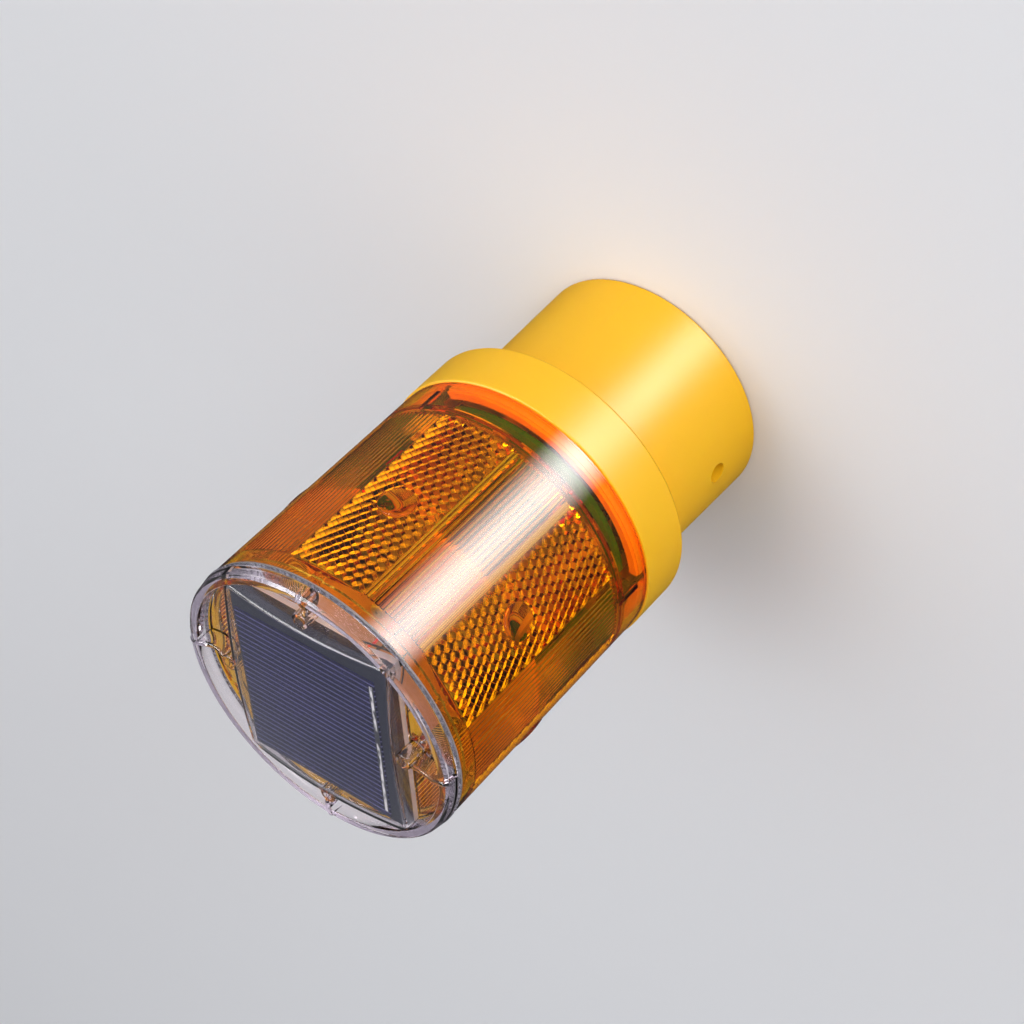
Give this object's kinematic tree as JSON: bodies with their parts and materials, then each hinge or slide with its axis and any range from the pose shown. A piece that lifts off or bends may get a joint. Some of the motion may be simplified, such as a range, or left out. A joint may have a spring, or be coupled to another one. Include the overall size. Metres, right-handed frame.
{
  "type": "barricade warning light",
  "caption": "Solar warning light: amber prism lens over a yellow collar and socket that slips on a cone or post, with a domed clear cover over its panel.",
  "frame": {"origin": "centre of the socket's open end, on the plane of its rim", "axes": "+Z along the lamp's axis, from the socket's mouth up to the solar panel; X along the cross bolt holes and the panel's short side"},
  "size_m": [0.086, 0.0862, 0.1488],
  "materials": {
    "housing_yellow": "satin moulded",
    "lens_amber": "clear tinted, polished",
    "cover_clear": "clear, polished",
    "seal_silicone": "satin",
    "seal_clear": "satin",
    "laminate_dark": "satin",
    "cell_blue": "semi-gloss",
    "ribbon_tin": "tinned",
    "board_green": "solder mask",
    "standoff_brass": "turned",
    "screw_steel": "zinc plated",
    "switch_steel": "plated",
    "slider_black": "fine texture",
    "battery_wrap": "shrink sleeve",
    "tray_black": "moulded",
    "contact_nickel": "nickel plated",
    "chip_black": "moulded",
    "ferrite_grey": "sintered",
    "capacitor_sleeve": "shrink sleeve",
    "resistor_body": "lacquered",
    "plug_white": "moulded",
    "lead_red": "soft",
    "lead_black": "soft",
    "lamp_epoxy": "clear cast"
  },
  "bodies": {
    "lamp": {"base_housing": "housing_yellow", "amber_lens": "lens_amber", "solar_cover": "cover_clear", "lens_seal": "seal_silicone", "cover_seal": "seal_clear", "solar_laminate": "laminate_dark", "solar_cell": "cell_blue", "cell_ribbon": "ribbon_tin", "panel_sealant": "seal_clear", "control_board": "board_green", "light_board": "board_green", "board_standoffs": "standoff_brass", "lens_screws": "screw_steel", "board_screws": "screw_steel", "standoff_screws_low": "screw_steel", "standoff_screws_high": "screw_steel", "switch_body": "switch_steel", "switch_screws": "screw_steel", "battery_cell": "battery_wrap", "battery_tray": "tray_black", "battery_contact_plus": "contact_nickel", "battery_contact_minus": "contact_nickel", "battery_spring": "contact_nickel", "control_chip": "chip_black", "inductor": "ferrite_grey", "capacitor": "capacitor_sleeve", "resistors": "resistor_body", "lead_plug": "plug_white", "battery_lead_red": "lead_red", "battery_lead_black": "lead_black", "switch_lead_one": "lead_red", "switch_lead_two": "lead_black", "solar_lead_red": "lead_red", "solar_lead_black": "lead_black", "lamp_lead_red": "lead_red", "lamp_lead_black": "lead_black", "lamp_1": "lamp_epoxy", "lamp_2": "lamp_epoxy", "lamp_3": "lamp_epoxy", "lamp_4": "lamp_epoxy", "lamp_5": "lamp_epoxy", "lamp_6": "lamp_epoxy"},
    "slider": {"switch_slider": "slider_black"}
  },
  "joints": [
    {"name": "switch_slide", "type": "slide", "parent": "lamp", "child": "slider", "axis": [1, 0, 0], "range_m": [0, 0.003]}
  ]
}
